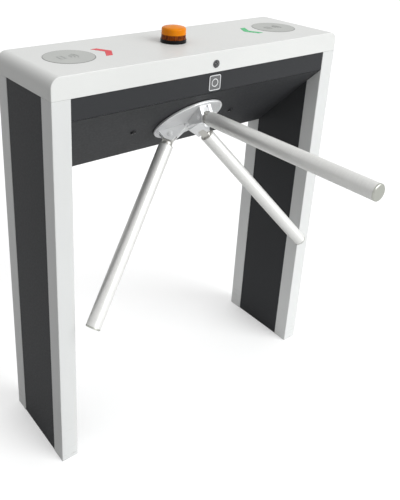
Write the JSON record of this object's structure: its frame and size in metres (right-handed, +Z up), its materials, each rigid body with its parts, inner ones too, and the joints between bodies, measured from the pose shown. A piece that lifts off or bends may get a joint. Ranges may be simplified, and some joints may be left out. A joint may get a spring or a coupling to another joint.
{
  "type": "tripod turnstile",
  "caption": "Waist-high tripod turnstile: slim portal cabinet with sloping front, turning hub with folding arms, card readers, direction arrows and beacon on a lift-off lid.",
  "frame": {"origin": "on the floor, in the middle of the four anchor holes", "axes": "+Z up; +X along the beam from the left leg to the right leg as seen from the arms' side; the arms reach out towards -Y"},
  "size_m": [0.9, 0.7495, 1.095],
  "materials": {
    "white_coat": "smooth powder coat",
    "dark_coat": "matt powder coat",
    "zinc_steel": "zinc plated",
    "bearing_steel": "ground",
    "hub_metal": "polished",
    "arm_metal": "satin",
    "cap_metal": "satin, turned bevel",
    "cast_aluminium": "as cast",
    "reader_plastic": "fine texture",
    "red_lens": "translucent",
    "green_lens": "translucent",
    "amber_lens": "translucent",
    "black_plastic": "moulded",
    "rubber": "matt",
    "lock_metal": "nickel plated",
    "circuit_board": "solder mask",
    "gear_steel": "machined",
    "badge_metal": "brushed rim and ring on a dark field",
    "screw_black": "black oxide"
  },
  "bodies": {
    "cabinet": {"left_front_post": "white_coat", "left_rear_post": "white_coat", "left_outer_panel": "dark_coat", "left_inner_panel": "dark_coat", "right_front_post": "white_coat", "right_rear_post": "white_coat", "right_outer_panel": "dark_coat", "right_inner_panel": "dark_coat", "base_plates": "zinc_steel", "cable_grommet": "rubber", "beam_end_plates": "zinc_steel", "front_rail": "zinc_steel", "lower_rail": "zinc_steel", "upper_front_cover": "dark_coat", "sloping_front_cover": "dark_coat", "rear_cover": "dark_coat", "cover_screws": "screw_black", "blank_badge": "badge_metal", "mechanism_plate": "zinc_steel", "frame_bolts": "zinc_steel", "bearing_housing": "cast_aluminium", "bearing_outer_rings": "bearing_steel", "damper_body": "cast_aluminium", "pivot_posts": "zinc_steel", "lock_magnets": "black_plastic", "rotation_sensor": "black_plastic", "control_board": "circuit_board", "power_supply": "zinc_steel"},
    "hub": {"hub_flange": "hub_metal", "hub_yoke": "hub_metal", "hub_cap": "hub_metal", "arm_pivot_pins": "hub_metal", "hub_shaft": "gear_steel", "bearing_inner_rings": "bearing_steel", "bearing_balls": "bearing_steel", "index_cam": "gear_steel", "lock_disc": "gear_steel", "main_gear": "gear_steel"},
    "front_arm": {"front_arm_root": "hub_metal", "front_arm_tube": "arm_metal", "front_arm_cap": "cap_metal"},
    "left_arm": {"left_arm_root": "hub_metal", "left_arm_tube": "arm_metal", "left_arm_cap": "cap_metal"},
    "right_arm": {"right_arm_root": "hub_metal", "right_arm_tube": "arm_metal", "right_arm_cap": "cap_metal"},
    "lid": {"lid_shell": "white_coat", "reader_covers": "reader_plastic", "red_arrow_lens": "red_lens", "green_arrow_lens": "green_lens", "beacon_base": "black_plastic", "beacon_lens": "amber_lens", "lock_barrel": "lock_metal"},
    "lid_lock": {"lock_rotor": "lock_metal"},
    "damper_rotor": {"damper_pinion": "gear_steel"},
    "index_lever": {"index_lever": "gear_steel"},
    "index_roller": {"index_roller": "black_plastic"},
    "left_pawl": {"left_pawl": "gear_steel"},
    "right_pawl": {"right_pawl": "gear_steel"}
  },
  "joints": [
    {"name": "hub_turn", "type": "hinge", "parent": "cabinet", "child": "hub", "pos_m": [0, -0.009, 0.875], "axis": [0, -0.7071, -0.7071], "continuous": true},
    {"name": "front_arm_fold", "type": "hinge", "parent": "hub", "child": "front_arm", "pos_m": [0, -0.0953, 0.875], "axis": [1, 0, 0], "range_deg": [0, 45]},
    {"name": "left_arm_fold", "type": "hinge", "parent": "hub", "child": "left_arm", "pos_m": [-0.05285, -0.03058, 0.81027], "axis": [-0.5, -0.6124, 0.6124], "range_deg": [0, 45]},
    {"name": "right_arm_fold", "type": "hinge", "parent": "hub", "child": "right_arm", "pos_m": [0.05285, -0.03058, 0.81027], "axis": [-0.5, 0.6124, -0.6124], "range_deg": [0, 45]},
    {"name": "lid_lift", "type": "slide", "parent": "cabinet", "child": "lid", "axis": [0, 0, 1], "range_m": [0, 0.15]},
    {"name": "lock_turn", "type": "hinge", "parent": "lid", "child": "lid_lock", "pos_m": [0, -0.12, 1.019], "axis": [0, 1, 0], "range_deg": [0, 90]},
    {"name": "damper_turn", "type": "hinge", "parent": "cabinet", "child": "damper_rotor", "pos_m": [0.06235, 0.0709, 0.90399], "axis": [0, -0.7071, -0.7071], "continuous": true},
    {"name": "index_lever_swing", "type": "hinge", "parent": "cabinet", "child": "index_lever", "pos_m": [-0.06, 0.07338, 0.84424], "axis": [0, -0.7071, -0.7071], "range_deg": [0, 8], "stiffness_Nm_per_rad": 4, "springref_deg": -11.46},
    {"name": "roller_spin", "type": "hinge", "parent": "index_lever", "child": "index_roller", "pos_m": [-0.0566, 0.02353, 0.90753], "axis": [0, -0.7071, -0.7071], "continuous": true},
    {"name": "right_pawl_swing", "type": "hinge", "parent": "cabinet", "child": "right_pawl", "pos_m": [0.06247, 0.02126, 0.93101], "axis": [0, -0.7071, -0.7071], "range_deg": [0, 12], "stiffness_Nm_per_rad": 1, "springref_deg": -8.59},
    {"name": "left_pawl_swing", "type": "hinge", "parent": "cabinet", "child": "left_pawl", "pos_m": [-0.06247, 0.02126, 0.93101], "axis": [0, 0.7071, 0.7071], "range_deg": [0, 12], "stiffness_Nm_per_rad": 1, "springref_deg": -8.59}
  ],
  "couplings": [
    {"joint": "damper_turn", "follows": "hub_turn", "ratio": -3}
  ]
}
